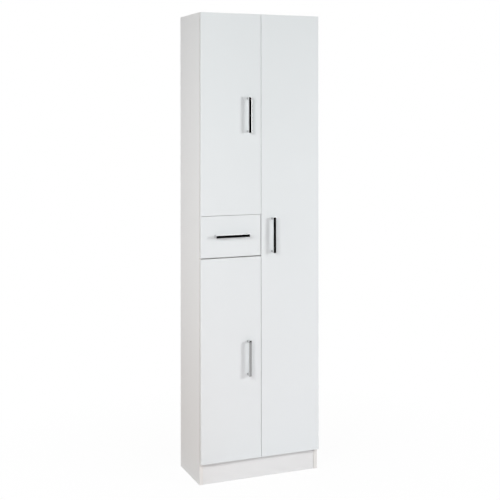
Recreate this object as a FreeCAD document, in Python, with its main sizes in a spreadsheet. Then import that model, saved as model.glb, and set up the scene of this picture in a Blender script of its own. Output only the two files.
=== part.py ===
import FreeCAD, Part
import os
import re
import Sketcher
from FreeCAD import Placement, Rotation, Vector

# Tall white bathroom cabinet in melamine board: an upper door, a drawer and a lower door on the left,
# one tall door on the right.
# Millimetres. X runs right, Y runs back, Z runs up, and the floor is at Z = 0 below the middle.

SIZES = {
    # Case boards
    "width": 500,
    "height": 1820,
    "board": 15,
    "case_front": -95,
    "case_back": 137,
    "case_depth": 232,
    "board_deep": 218.9,
    "plinth_top": 80,
    "plinth_set": 2,
    "plinth_play": 0.8,
    "groove_deep": 7,
    "groove_wide": 3.2,
    "groove_in": 10,
    "back_thick": 3,
    "under_drawer": 865,
    "over_drawer": 1027,
    "middle_shelf": 865,
    "shelf_set": 10,
    "shelf_deep": 205,
    # Fronts
    "door_back": -98,
    "reveal": 0.5,
    "front_low": 83,
    "front_high": 1819,
    "lower_top": 870.5,
    "drawer_low": 875,
    "drawer_high": 1034.7,
    "upper_low": 1036,
    "upper_edge": -0.6,
    "lower_edge": -1,
    "tall_edge": 1,
    "drawer_edge": -2.2,
    "edge_round": 2,
    "front_ease": 0.8,
    # Bar handle
    "bar_wide": 11.4,
    "bar_half": 70,
    "bar_out": 24,
    "bar_thick": 6.5,
    "bar_corner": 1.5,
    "bar_bevel": 0.6,
    "leg_inner": 60,
    "leg_outer": 68,
    "leg_web": 2,
    "hole_half": 64,
    "leg_hole": 2.02,
    "leg_hole_deep": 10,
    "screw_way": 2.05,
    "handle_screw_long": 24,
    # Concealed hinge
    "cup_in": 21,
    "cup_r": 17.5,
    "cup_bore": 17.52,
    "cup_deep": 11.7,
    "cup_wall": 0.8,
    "cup_floor": 0.7,
    "rim_r": 18,
    "rim_thick": 1,
    "ear_reach": 13,
    "ear_half": 29,
    "ear_hole": 24,
    "ear_hole_in": 6,
    "pin_in": 8.3,
    "pin_out": 11,
    "pin_r": 1.25,
    "pin_half": 10.4,
    "eye_r": 2.6,
    "eye_bore": 1.29,
    "arm_wide": 9,
    "plate_thick": 2.5,
    "plate_half": 24,
    "plate_near": 26,
    "plate_long": 22,
    "plate_hole": 16,
    "plate_row": 37,
    "wood_screw": 1.9,
    "wood_hole": 1.92,
    # Drawer box
    "box_left": -222.5,
    "box_right": -20,
    "box_side": 12,
    "box_low": 893,
    "box_high": 993,
    "box_back": 102,
    "box_floor": 902,
    "floor_thick": 3,
    # Roller rails
    "rail_low": 886,
    "rail_high": 922,
    "rail_sheet": 1.2,
    "rail_flange": 9.2,
    "rail_lip": 5,
    "rail_front": -93,
    "rail_back": 107,
    "slide_front": -96,
    "slide_back": 100,
    "slide_top": 907.4,
    "slide_wing": 9.5,
    "slide_foot": 10.5,
    "roller_r": 8.7,
    "roller_bore": 2.55,
    "roller_wide": 7.4,
    "roller_edge": 0.6,
    "axle_r": 2.5,
    "axle_head": 4,
    "axle_cap": 0.7,
    "front_roller_y": -85,
    "front_roller_z": 897.2,
    "rear_roller_y": 88,
    "rear_roller_z": 896.2,
    # Small hardware
    "peg_r": 2.5,
    "peg_hole": 2.52,
    "peg_deep": 6.8,
    "peg_head": 3,
    "peg_out": 8,
    "cam_r": 7.5,
    "cam_bore": 7.56,
    "cam_high": 12.5,
    "cam_in": 34,
    "bolt_r": 3,
    "bolt_hole": 3.02,
    "bolt_reach": 26.3,
    "bolt_tail": 2.5,
    "tail_deep": 11,
    "glide_r": 7,
    "glide_high": 0.8,
    "glide_nail": 1,
    "glide_spike": 12,
    "bracket_sheet": 2,
    "bracket_wide": 20,
    "bracket_leg": 25,
    "bracket_drop": 30,
    "wall_hole": 2.75,
    "wall_hole_z": 1787,
    "bumper_r": 2.5,
    "bumper_high": 2.4,
    "dowel_r": 4,
    "dowel_hole": 4.02,
    "dowel_half": 20,
    "dowel_nose": 10,
}

doc = FreeCAD.newDocument("tall_cabinet")
sheet = doc.addObject("Spreadsheet::Sheet", "Sizes")
for row, (name, value) in enumerate(SIZES.items(), 1):
    sheet.set("A%d" % row, name)
    sheet.set("B%d" % row, str(value))
    sheet.setAlias("B%d" % row, name)
doc.recompute()

TURN_X = Rotation(Vector(0, 1, 0), 90)
TURN_Y = Rotation(Vector(1, 0, 0), -90)
UPRIGHT = Rotation()
HALF_TURN = Rotation(Vector(0, 0, 1), 180)
made = []


def number(text):
    """The value of a sum of products of sheet sizes and plain numbers."""
    total = 0.0
    for sign, term in re.findall(r"([+-]?)\s*([^+-]+)", text):
        value = 1.0
        for step, part in re.findall(r"([*/]?)\s*([\w.]+)", term):
            factor = SIZES[part] if part in SIZES else float(part)
            value = value / factor if step == "/" else value * factor
        total += -value if sign == "-" else value
    return total


def bind(obj, prop, text):
    """Tie one property of an object to an expression of the size sheet."""
    obj.setExpression(prop, re.sub(r"[a-z_]+", lambda word: "Sizes." + word.group(), text))


def place(obj, x, y, z):
    """Tie the position of an object to three expressions."""
    bind(obj, ".Placement.Base.x", x)
    bind(obj, ".Placement.Base.y", y)
    bind(obj, ".Placement.Base.z", z)


def box(name, x, y, z, dx, dy, dz):
    """A board or a cutter, from its low corner and its three sizes."""
    obj = doc.addObject("Part::Box", name)
    bind(obj, "Length", dx)
    bind(obj, "Width", dy)
    bind(obj, "Height", dz)
    place(obj, x, y, z)
    return obj


def rod(name, turn, x, y, z, radius, length):
    """A round bar or drill from one end, along +Z, or along +X or +Y by its turn."""
    obj = doc.addObject("Part::Cylinder", name)
    obj.Placement = Placement(Vector(), turn)
    bind(obj, "Radius", radius)
    bind(obj, "Height", length)
    place(obj, x, y, z)
    return obj


def joined(name, pieces):
    """Pieces run together into one solid."""
    obj = doc.addObject("Part::MultiFuse", name)
    obj.Shapes = pieces
    return obj


def cut(name, base, tools):
    """A piece with its grooves and holes taken out."""
    obj = doc.addObject("Part::Cut", name)
    obj.Base = base
    obj.Tool = joined(name + "_cutters", tools) if len(tools) > 1 else tools[0]
    return obj


def keep(obj, label):
    """Name a finished sub-part."""
    obj.Label = label
    made.append(obj)
    return obj


def spread(label, pattern, spots):
    """A group of separate copies of one small part, each given as its place."""
    obj = doc.addObject("Part::Feature", label)
    copies = []
    for spot in spots:
        copy = pattern.Shape.copy()
        copy.Placement = spot.multiply(pattern.Placement)
        copies.append(copy)
    obj.Shape = Part.Compound(copies)
    return keep(obj, label)


def outline(body, name, corners):
    """A closed sketch through corners on the body's XY plane, every corner tied to the sheet."""
    sketch = body.newObject("Sketcher::SketchObject", name)
    plane = [item for item in body.Origin.OriginFeatures if item.Role == "XY_Plane"][0]
    sketch.AttachmentSupport = (plane, [""])
    sketch.MapMode = "FlatFace"
    points = [Vector(number(x), number(y), 0) for x, y in corners]
    count = len(points)
    for i in range(count):
        sketch.addGeometry(Part.LineSegment(points[i], points[(i + 1) % count]), False)
    for i in range(count):
        sketch.addConstraint(Sketcher.Constraint("Coincident", i, 2, (i + 1) % count, 1))
    for i, (x, y) in enumerate(corners):
        for kind, text, value in (("DistanceX", x, points[i].x), ("DistanceY", y, points[i].y)):
            row = sketch.addConstraint(Sketcher.Constraint(kind, -1, 1, i, 1, value))
            bind(sketch, "Constraints[%d]" % row, text)
    doc.recompute()
    return sketch


def ring(body, name, x, y, radius):
    """A circle sketched on the body's XY plane, its centre and radius tied to the sheet."""
    sketch = body.newObject("Sketcher::SketchObject", name)
    plane = [item for item in body.Origin.OriginFeatures if item.Role == "XY_Plane"][0]
    sketch.AttachmentSupport = (plane, [""])
    sketch.MapMode = "FlatFace"
    centre = Vector(number(x), number(y), 0)
    sketch.addGeometry(Part.Circle(centre, Vector(0, 0, 1), number(radius)), False)
    for kind, text, value in (("DistanceX", x, centre.x), ("DistanceY", y, centre.y)):
        row = sketch.addConstraint(Sketcher.Constraint(kind, -1, 1, 0, 3, value))
        bind(sketch, "Constraints[%d]" % row, text)
    row = sketch.addConstraint(Sketcher.Constraint("Radius", 0, number(radius)))
    bind(sketch, "Constraints[%d]" % row, radius)
    doc.recompute()
    return sketch


def pad(body, name, sketch, length):
    """Raise a sketch into a solid along +Z."""
    feature = body.newObject("PartDesign::Pad", name)
    feature.Profile = sketch
    bind(feature, "Length", length)
    doc.recompute()
    return feature


def pocket(body, name, sketch, length):
    """Sink a sketch into the solid above it."""
    before = body.Shape.Volume
    feature = body.newObject("PartDesign::Pocket", name)
    feature.Profile = sketch
    feature.Reversed = True
    bind(feature, "Length", length)
    doc.recompute()
    if body.Shape.Volume >= before:
        raise RuntimeError("pocket cut nothing: " + name)
    return feature


def screw(name, shank, length, head, thick):
    """A pan-head screw along +Z with its head's seat at Z = 0 and a cross recess in the head."""
    whole = joined(name + "_blank", [
        rod(name + "_shank", UPRIGHT, "0", "0", "-" + length, shank, length),
        rod(name + "_head", UPRIGHT, "0", "0", "0", head, thick),
    ])
    slots = [
        box(name + "_slot_a", "-0.5", "-0.55 * " + head, "0.5 * " + thick, "1", "1.1 * " + head, thick),
        box(name + "_slot_b", "-0.55 * " + head, "-0.5", "0.5 * " + thick, "1.1 * " + head, "1", thick),
    ]
    return cut(name, whole, slots)


# Column limits between the boards, and the heights of the hinges, loose shelves and fixed ends.
LEFT_IN = "-width / 2 + board"
RIGHT_IN = "width / 2 - board"
HINGES_LEFT = [183, 759, 1143, 1719]
HINGES_RIGHT = [183, 695, 1207, 1719]
SHELVES = {
    "shelves_upper_left": ("left", [1280, 1540]),
    "shelves_lower_left": ("left", [345, 600]),
    "shelves_right": ("right", [345, 600, 1110, 1450]),
}
PIN_ROWS = [-58, 84]
BOLT_ROWS = [-60, 85]
BOLT_ROWS_RIGHT = [-40, 65]
NAILS = [(x, z) for z in (87.5, 1812.5) for x in (-180, -60, 60, 180)]
NAILS += [(0, 450), (0, 950), (0, 1400), (-121, 872.5), (-121, 1034.5), (121, 872.5)]
RAIL_SCREWS = [-60, 20, 90]
LONG_SCREWS = [-50, 75]
GLIDE_ROWS = [-75, 115]
BRACKETS = [-121, 121]
BRACKET_SCREW_Y = 108
DOWEL_HEIGHTS = [925, 970]
BUMPERS = [(-5, 1100), (-5, 1760), (-5, 140), (-5, 820)]
BUMPERS += [(4.7, 140), (4.7, 1760), (-60, 1030.4), (-190, 1030.4)]
LEFT_X = number(LEFT_IN)
RIGHT_X = number(RIGHT_IN)
HALF = number("board / 2")
FRONT = SIZES["case_front"]
BACK_FACE = number("case_front + board_deep")


def peg_holes(name, face, into):
    """Rows of blind shelf-pin holes in one board face, three heights for each loose shelf."""
    tools = []
    column = "left" if face in (LEFT_X, -HALF) else "right"
    start = face if into > 0 else face - SIZES["peg_deep"] - 0.2
    for label, (where, heights) in SHELVES.items():
        if where != column:
            continue
        for z in heights:
            for y in PIN_ROWS:
                for step in (-32, 0, 32):
                    hole = rod(name, TURN_X, str(start), str(y), "%s - peg_head + %s" % (z, step),
                               "peg_hole", "peg_deep + 0.2")
                    tools.append(hole)
    return tools


def bolt_tails(name, face, into, z, rows):
    """Threaded blind holes for cam bolts in the face of an upright board."""
    start = str(face) if into > 0 else "%s - tail_deep" % face
    return [rod(name, TURN_X, start, str(y), "%s + board / 2" % z, "bolt_tail + 0.02", "tail_deep")
            for y in rows]


def end_holes(name, low, high, z, rows):
    """Cam bores in the underside of a flat board and the bolt holes that reach them from its ends."""
    tools = []
    for y in rows:
        tools.append(rod(name, UPRIGHT, "%s + cam_in" % low, str(y), z, "cam_bore", "cam_high"))
        tools.append(rod(name, UPRIGHT, "%s - cam_in" % high, str(y), z, "cam_bore", "cam_high"))
        tools.append(rod(name, TURN_X, low, str(y), "%s + board / 2" % z, "bolt_hole", "30"))
        tools.append(rod(name, TURN_X, "%s - 30" % high, str(y), "%s + board / 2" % z, "bolt_hole", "30"))
    return tools


def nail_holes(name, spots):
    """Nail holes in the rear edges of boards."""
    return [rod(name, TURN_Y, str(x), "case_front + board_deep - 11", str(z), "0.82", "14.1")
            for x, z in spots]


# Side panels: full height on thin glides, grooved at the rear for the back, drilled on the inner face
# for shelf pins, hinge plates, cam bolts and the drawer rail.
for side, sign in (("left", -1), ("right", 1)):
    inner = LEFT_X if sign < 0 else RIGHT_X
    plain = box("side_%s_board" % side, "-width / 2" if sign < 0 else RIGHT_IN, "case_front", "glide_high",
                "board", "case_depth", "height - glide_high")
    groove_x = LEFT_IN + " - groove_deep" if sign < 0 else RIGHT_IN
    tools = [box("side_groove", groove_x, "case_back - groove_in - groove_wide", "-5",
                 "groove_deep", "groove_wide", "height + 10")]
    tools += peg_holes("peg_hole_" + side, inner, sign)
    levels = ["plinth_top", "height - board"]
    if sign < 0:
        levels += ["under_drawer", "over_drawer"]
    for level in levels:
        tools += bolt_tails("bolt_hole_" + side, inner, sign, level, BOLT_ROWS)
    if sign > 0:
        tools += bolt_tails("bolt_hole_" + side, inner, sign, "middle_shelf", BOLT_ROWS_RIGHT)
    for z in HINGES_LEFT if sign < 0 else HINGES_RIGHT:
        for lift in ("+ plate_hole", "- plate_hole"):
            start = "%s - 11" % inner if sign < 0 else str(inner)
            tools.append(rod("plate_hole_" + side, TURN_X, start, "case_front + plate_row",
                             "%s %s" % (z, lift), "wood_hole", "11"))
    if sign < 0:
        for y in RAIL_SCREWS:
            tools.append(rod("rail_hole_left", TURN_X, "%s - 10" % inner, str(y), "rail_high - 7",
                             "wood_hole", "10"))
    for y in GLIDE_ROWS:
        tools.append(rod("glide_hole_" + side, UPRIGHT, str(inner + sign * HALF), str(y), "0",
                         "glide_nail + 0.02", "glide_high + glide_spike"))
    keep(cut("side_" + side, plain, tools), "side_" + side)

# Top and bottom panels: between the sides, held by cams, with long screws down into the partition.
for label, z, screw_from, head_from in (
        ("top_panel", "height - board", "height - board - 1", "height - 3"),
        ("bottom_panel", "plinth_top", "plinth_top - 1", "plinth_top - 1")):
    plain = box(label + "_board", LEFT_IN, "case_front", z, "width - 2 * board", "board_deep", "board")
    tools = end_holes(label + "_end", LEFT_IN, RIGHT_IN, z, BOLT_ROWS)
    tools += nail_holes(label + "_nail", [spot for spot in NAILS if abs(spot[1] - number(z) - HALF) < 1])
    for y in LONG_SCREWS:
        tools.append(rod(label + "_way", UPRIGHT, "0", str(y), screw_from, "bolt_tail + 0.02", "board + 2"))
        tools.append(rod(label + "_seat", UPRIGHT, "0", str(y), head_from, "4.52", "4"))
    if label == "top_panel":
        for x in BRACKETS:
            tools.append(rod("bracket_hole", UPRIGHT, str(x), str(BRACKET_SCREW_Y), z, "wood_hole", "11"))
    keep(cut(label, plain, tools), label)

# Centre partition: between top and bottom, drilled on both faces, carrying the right drawer rail.
plain = box("partition_board", "-board / 2", "case_front", "plinth_top + board", "board", "board_deep",
            "height - plinth_top - 2 * board")
tools = peg_holes("partition_peg_left", -HALF, 1) + peg_holes("partition_peg_right", HALF, -1)
for level in ("under_drawer", "over_drawer"):
    tools += bolt_tails("partition_bolt_left", -HALF, 1, level, BOLT_ROWS)
tools += bolt_tails("partition_bolt_right", HALF, -1, "middle_shelf", BOLT_ROWS_RIGHT)
tools += nail_holes("partition_nail", [spot for spot in NAILS if spot[0] == 0])
for y in RAIL_SCREWS:
    tools.append(rod("partition_rail_hole", TURN_X, "-board / 2", str(y), "rail_high - 7", "wood_hole", "10"))
for y in LONG_SCREWS:
    tools.append(rod("partition_end_low", UPRIGHT, "0", str(y), "plinth_top + board - 1",
                     "bolt_tail + 0.02", "37"))
    tools.append(rod("partition_end_high", UPRIGHT, "0", str(y), "height - board - 36",
                     "bolt_tail + 0.02", "37"))
keep(cut("partition", plain, tools), "partition")

# Plinth board: on edge between the sides, just behind their front edges, and cut a little short.
keep(box("plinth_board", LEFT_IN, "case_front + plinth_set", "glide_high",
         "width - 2 * board - plinth_play", "board", "plinth_top - glide_high"), "plinth_board")

# Back: thin hardboard sliding in the side grooves, with two holes for the wall screws.
plain = box("back_sheet", LEFT_IN + " - groove_deep + 0.5", "case_front + board_deep", "plinth_top + 2",
            "width - 2 * board + 2 * groove_deep - 1", "back_thick", "height - plinth_top - 4")
tools = nail_holes("back_nail_hole", NAILS)
for x in BRACKETS:
    tools.append(rod("back_wall_hole", TURN_Y, str(x), "case_front + board_deep - 1", "wall_hole_z",
                     "wall_hole", "back_thick + 2"))
keep(cut("back_panel", plain, tools), "back_panel")

# Fixed shelves: above and below the drawer on the left, one at the middle of the right column.
for label, low, high, z, rows in (
        ("shelf_under_drawer", LEFT_IN, "-board / 2", "under_drawer", BOLT_ROWS),
        ("shelf_over_drawer", LEFT_IN, "-board / 2", "over_drawer", BOLT_ROWS),
        ("shelf_middle_right", "board / 2", RIGHT_IN, "middle_shelf", BOLT_ROWS_RIGHT)):
    plain = box(label + "_board", low, "case_front", z, "width / 2 - 1.5 * board", "board_deep", "board")
    tools = end_holes(label + "_end", low, high, z, rows)
    sign = -1 if low == LEFT_IN else 1
    tools += nail_holes(label + "_nail", [spot for spot in NAILS
                                          if spot[0] * sign > 100 and abs(spot[1] - number(z) - HALF) < 1])
    keep(cut(label, plain, tools), label)

# Loose shelves: narrower than their column by a millimetre and set back from the front.
for label, (where, heights) in SHELVES.items():
    low = LEFT_IN if where == "left" else "board / 2"
    boards = [box(label + "_board", low + " + 0.5", "case_front + shelf_set", str(z),
                  "width / 2 - 1.5 * board - 1", "shelf_deep", "board") for z in heights]
    group = doc.addObject("Part::Compound", label)
    group.Links = boards
    keep(group, label)

# Shelf pins: a shank in the board and a thicker head under each shelf corner.
peg = joined("peg", [rod("peg_shank", TURN_X, "-peg_deep", "0", "0", "peg_r", "peg_deep"),
                     rod("peg_nose", TURN_X, "0", "0", "0", "peg_head", "peg_out")])
doc.recompute()
spots = []
for label, (where, heights) in SHELVES.items():
    faces = (LEFT_X, -HALF) if where == "left" else (HALF, RIGHT_X)
    for z in heights:
        for y in PIN_ROWS:
            spots.append(Placement(Vector(faces[0], y, z - SIZES["peg_head"]), UPRIGHT))
            spots.append(Placement(Vector(faces[1], y, z - SIZES["peg_head"]), HALF_TURN))
spread("shelf_pins", peg, spots)

# Cam locks in the undersides of the fixed boards, and the bolts they pull.
cam = cut("cam", rod("cam_blank", UPRIGHT, "0", "0", "0", "cam_r", "cam_high"),
          [box("cam_slot_a", "-4.5", "-0.8", "-1", "9", "1.6", "3"),
           box("cam_slot_b", "-0.8", "-4.5", "-1", "1.6", "9", "3")])
bolt = joined("bolt", [rod("bolt_bar", TURN_X, "0", "0", "0", "bolt_r", "bolt_reach"),
                       rod("bolt_thread", TURN_X, "-tail_deep", "0", "0", "bolt_tail", "tail_deep")])
doc.recompute()
cam_spots = []
bolt_spots = []
for low, high, z, rows in (
        (LEFT_X, RIGHT_X, "height - board", BOLT_ROWS),
        (LEFT_X, RIGHT_X, "plinth_top", BOLT_ROWS),
        (LEFT_X, -HALF, "under_drawer", BOLT_ROWS),
        (LEFT_X, -HALF, "over_drawer", BOLT_ROWS),
        (HALF, RIGHT_X, "middle_shelf", BOLT_ROWS_RIGHT)):
    for y in rows:
        cam_spots.append(Placement(Vector(low + SIZES["cam_in"], y, number(z)), UPRIGHT))
        cam_spots.append(Placement(Vector(high - SIZES["cam_in"], y, number(z)), UPRIGHT))
        bolt_spots.append(Placement(Vector(low, y, number(z) + HALF), UPRIGHT))
        bolt_spots.append(Placement(Vector(high, y, number(z) + HALF), HALF_TURN))
spread("cam_locks", cam, cam_spots)
spread("cam_bolts", bolt, bolt_spots)

# Long screws through top and bottom into the partition ends, heads sunk flush.
long_screw = joined("long_screw", [rod("long_shank", UPRIGHT, "0", "0", "-50", "bolt_tail", "49"),
                                   rod("long_head", UPRIGHT, "0", "0", "-3", "4.5", "3")])
doc.recompute()
over = Rotation(Vector(1, 0, 0), 180)
spread("partition_screws", long_screw,
       [Placement(Vector(0, y, SIZES["height"]), UPRIGHT) for y in LONG_SCREWS]
       + [Placement(Vector(0, y, SIZES["plinth_top"]), over) for y in LONG_SCREWS])

# Nails through the back into the board edges.
nail = joined("nail", [rod("nail_shank", UPRIGHT, "0", "0", "-13.9", "0.8", "13.9"),
                       rod("nail_head", UPRIGHT, "0", "0", "0", "2", "0.6")])
doc.recompute()
rearward = Rotation(Vector(1, 0, 0), -90)
spread("back_nails", nail,
       [Placement(Vector(x, BACK_FACE + SIZES["back_thick"], z), rearward) for x, z in NAILS])

# Nail-on glides under the side panels.
glide = joined("glide", [
    rod("glide_disc", UPRIGHT, "0", "0", "0", "glide_r", "glide_high"),
    rod("glide_pin", UPRIGHT, "0", "0", "glide_high", "glide_nail", "glide_spike - 0.5")])
doc.recompute()
spread("floor_glides", glide, [Placement(Vector(x, y, 0), UPRIGHT)
                               for x in (LEFT_X - HALF, RIGHT_X + HALF) for y in GLIDE_ROWS])

# Wall brackets: bent angles under the top panel against the back, each with a hole for the wall screw.
bracket_body = doc.addObject("PartDesign::Body", "bracket_body")
pad(bracket_body, "bracket_pad", outline(bracket_body, "bracket_outline", [
    ("0", "0"), ("-bracket_leg", "0"), ("-bracket_leg", "-bracket_sheet"),
    ("-bracket_sheet", "-bracket_sheet"), ("-bracket_sheet", "-bracket_drop"), ("0", "-bracket_drop")]),
    "bracket_wide")
bracket_turn = Rotation(Vector(0, 1, 0), Vector(0, 0, 1), Vector(1, 0, 0), "XYZ")
bracket_body.Placement = Placement(Vector(), bracket_turn)
bracket = cut("bracket", bracket_body, [
    rod("bracket_wall_way", TURN_Y, "bracket_wide / 2", "-bracket_sheet - 1", "wall_hole_z - height + board",
        "wall_hole", "bracket_sheet + 2"),
    rod("bracket_top_way", UPRIGHT, "bracket_wide / 2", "%s - case_front - board_deep" % BRACKET_SCREW_Y,
        "-bracket_sheet - 1", "wood_screw + 0.1", "bracket_sheet + 2")])
small_screw = screw("small_screw", "wood_screw", "12", "3.4", "2")
plate_screw = screw("plate_screw", "wood_screw", "13", "3.5", "2")
rail_screw = screw("rail_screw", "wood_screw", "11", "3", "1.2")
cup_screw = screw("cup_screw", "wood_screw", "11", "3.2", "1.4")
doc.recompute()
under = SIZES["height"] - SIZES["board"]
spread("wall_brackets", bracket,
       [Placement(Vector(x - SIZES["bracket_wide"] / 2, BACK_FACE, under), UPRIGHT) for x in BRACKETS])
spread("bracket_screws", small_screw,
       [Placement(Vector(x, BRACKET_SCREW_Y, under - SIZES["bracket_sheet"]), over) for x in BRACKETS])

# Hinge plates: flat steel plates screwed to the side panels a fixed way behind their front edge.
plate = cut("plate", box("plate_blank", "board", "plate_near", "-plate_half", "plate_thick", "plate_long",
                         "2 * plate_half"),
            [rod("plate_way_a", TURN_X, "board - 1", "plate_row", "plate_hole", "wood_screw + 0.1",
                 "plate_thick + 2"),
             rod("plate_way_b", TURN_X, "board - 1", "plate_row", "-plate_hole", "wood_screw + 0.1",
                 "plate_thick + 2")])

# Hinge arms: a channel on the plate that runs forward as a goose neck into the cup and ends in an eye.
arm = doc.addObject("PartDesign::Body", "arm")
pad(arm, "arm_pad", outline(arm, "arm_outline", [
    ("pin_in + 1", "-pin_out - 1.2"), ("20.2", "-pin_out - 1.2"), ("22", "-pin_out + 0.6"), ("22", "-1"),
    ("27", "4"), ("27", "58"), ("board + plate_thick", "58"), ("board + plate_thick", "4.5"), ("19.5", "2.5"),
    ("19.5", "-pin_out + 1"), ("pin_in + 1", "-pin_out + 1")]), "arm_wide")
pad(arm, "eye_pad", ring(arm, "eye_outline", "pin_in", "-pin_out", "eye_r"), "arm_wide")
pocket(arm, "eye_pocket", ring(arm, "eye_hole", "pin_in", "-pin_out", "eye_bore"), "arm_wide")
arm_open = cut("arm_open", arm, [box("arm_hollow", "board + plate_thick - 1", "8", "1.5", "8.8", "48",
                                     "arm_wide - 3")])
doc.recompute()


def hinge_spots(lift, sides=("left", "right"), heights=None):
    """Places of the hinges: left ones upright, right ones turned half round the Y axis."""
    places = []
    for side in sides:
        rows = heights or (HINGES_LEFT if side == "left" else HINGES_RIGHT)
        for z in rows:
            if side == "left":
                start = Placement(Vector(-SIZES["width"] / 2, FRONT, z), UPRIGHT)
            else:
                start = Placement(Vector(SIZES["width"] / 2, FRONT, z), Rotation(Vector(0, 1, 0), 180))
            places.append(start.multiply(lift))
    return places


spread("hinge_plates", plate, hinge_spots(Placement()))
spread("hinge_arms", arm_open, hinge_spots(Placement(Vector(0, 0, -SIZES["arm_wide"] / 2), UPRIGHT)))
inward = Rotation(Vector(0, 1, 0), 90)
plate_top = number("board + plate_thick")
spread("plate_screws", plate_screw,
       [spot for lift in (-SIZES["plate_hole"], SIZES["plate_hole"])
        for spot in hinge_spots(Placement(Vector(plate_top, SIZES["plate_row"], lift), inward))])

# Case rails: bent steel channels on the left side and the partition, open towards the drawer.
rail = doc.addObject("PartDesign::Body", "rail")
pad(rail, "rail_pad", outline(rail, "rail_outline", [
    ("0", "0"), ("rail_sheet + rail_flange", "0"), ("rail_sheet + rail_flange", "rail_sheet"),
    ("rail_sheet", "rail_sheet"), ("rail_sheet", "rail_high - rail_low - rail_sheet"),
    ("rail_sheet + rail_lip", "rail_high - rail_low - rail_sheet"),
    ("rail_sheet + rail_lip", "rail_high - rail_low"), ("0", "rail_high - rail_low")]),
    "rail_back - rail_front")
rail.Placement = Placement(Vector(), Rotation(Vector(1, 0, 0), 90))
rail_drilled = cut("rail_drilled", rail, [
    rod("rail_way", TURN_X, "-1", "%s - rail_back" % y, "rail_high - rail_low - 7", "wood_screw + 0.1",
        "rail_sheet + 2") for y in RAIL_SCREWS])
doc.recompute()
rail_mirror = doc.addObject("Part::Mirroring", "rail_mirror")
rail_mirror.Source = rail_drilled
rail_mirror.Normal = Vector(1, 0, 0)
doc.recompute()
spread("case_rail_left", rail_drilled,
       [Placement(Vector(LEFT_X, SIZES["rail_back"], SIZES["rail_low"]), UPRIGHT)])
spread("case_rail_right", rail_mirror,
       [Placement(Vector(-HALF, SIZES["rail_back"], SIZES["rail_low"]), UPRIGHT)])
rail_face = SIZES["rail_sheet"]
spread("rail_screws", rail_screw,
       [Placement(Vector(LEFT_X + rail_face, y, SIZES["rail_high"] - 7), Rotation(Vector(0, 1, 0), 90))
        for y in RAIL_SCREWS]
       + [Placement(Vector(-HALF - rail_face, y, SIZES["rail_high"] - 7), Rotation(Vector(0, 1, 0), -90))
          for y in RAIL_SCREWS])

# Roller axles: headed studs riveted to the rails, at the front of the case and the rear of the drawer.
axle = joined("axle", [rod("axle_bar", TURN_X, "0", "0", "0", "axle_r", "8.6"),
                       rod("axle_cap", TURN_X, "8.6", "0", "0", "axle_head", "axle_cap")])
doc.recompute()
spread("front_axles", axle, [
    Placement(Vector(LEFT_X + rail_face, SIZES["front_roller_y"], SIZES["front_roller_z"]), UPRIGHT),
    Placement(Vector(-HALF - rail_face, SIZES["front_roller_y"], SIZES["front_roller_z"]), HALF_TURN)])
box_l = SIZES["box_left"] - rail_face
box_r = SIZES["box_right"] + rail_face
spread("rear_axles", axle, [
    Placement(Vector(box_l, SIZES["rear_roller_y"], SIZES["rear_roller_z"]), HALF_TURN),
    Placement(Vector(box_r, SIZES["rear_roller_y"], SIZES["rear_roller_z"]), UPRIGHT)])

# Rollers: small plastic wheels with a plain bore, one pair on each set of axles.
roller = doc.addObject("PartDesign::Body", "roller")
wheel = outline(roller, "roller_outline", [
    ("0.4", "roller_bore"), ("0.4 + roller_wide", "roller_bore"),
    ("0.4 + roller_wide", "roller_r - roller_edge"), ("0.4 + roller_wide - roller_edge", "roller_r"),
    ("0.4 + roller_edge", "roller_r"), ("0.4", "roller_r - roller_edge")])
spin = roller.newObject("PartDesign::Revolution", "roller_spin")
spin.Profile = wheel
spin.ReferenceAxis = (wheel, ["H_Axis"])
spin.Angle = 360
doc.recompute()
spread("front_rollers", roller, [
    Placement(Vector(LEFT_X + rail_face + 0.5, SIZES["front_roller_y"], SIZES["front_roller_z"]), UPRIGHT),
    Placement(Vector(-HALF - rail_face - 0.5, SIZES["front_roller_y"], SIZES["front_roller_z"]), HALF_TURN)])
spread("rear_rollers", roller, [
    Placement(Vector(box_l - 0.4, SIZES["rear_roller_y"], SIZES["rear_roller_z"]), HALF_TURN),
    Placement(Vector(box_r + 0.4, SIZES["rear_roller_y"], SIZES["rear_roller_z"]), UPRIGHT)])

# Bumpers: small clear pads on the front edges of the case behind the free edges of the fronts.
bumper = rod("bumper", TURN_Y, "0", "-bumper_high", "0", "bumper_r", "bumper_high")
doc.recompute()
spread("bumpers", bumper, [Placement(Vector(x, FRONT, z), UPRIGHT) for x, z in BUMPERS])

# Bar handle: a flat bar with bevelled front edges on two legs a little in from its ends, drilled from behind.
bow = doc.addObject("PartDesign::Body", "bow")
pad(bow, "bow_pad", outline(bow, "bow_outline", [
    ("0", "-leg_outer"), ("bar_out - bar_thick", "-leg_outer"), ("bar_out - bar_thick", "-bar_half"),
    ("bar_out - bar_corner", "-bar_half"), ("bar_out", "-bar_half + bar_corner"),
    ("bar_out", "bar_half - bar_corner"), ("bar_out - bar_corner", "bar_half"),
    ("bar_out - bar_thick", "bar_half"), ("bar_out - bar_thick", "leg_outer"), ("0", "leg_outer"),
    ("0", "leg_inner"), ("bar_out - bar_thick - leg_web", "leg_inner"),
    ("bar_out - bar_thick", "leg_inner - leg_web"), ("bar_out - bar_thick", "-leg_inner + leg_web"),
    ("bar_out - bar_thick - leg_web", "-leg_inner"), ("0", "-leg_inner")]), "bar_wide")
rim = []
for i, edge in enumerate(bow.Shape.Edges, 1):
    middle = edge.CenterOfMass
    level = abs(edge.Vertexes[0].Z - edge.Vertexes[1].Z) < 0.01
    if level and middle.x > SIZES["bar_out"] - 2:
        rim.append("Edge%d" % i)
bevel = bow.newObject("PartDesign::Chamfer", "bow_bevel")
bevel.Base = (bow.getObject("bow_pad"), rim)
bind(bevel, "Size", "bar_bevel")
doc.recompute()
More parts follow.
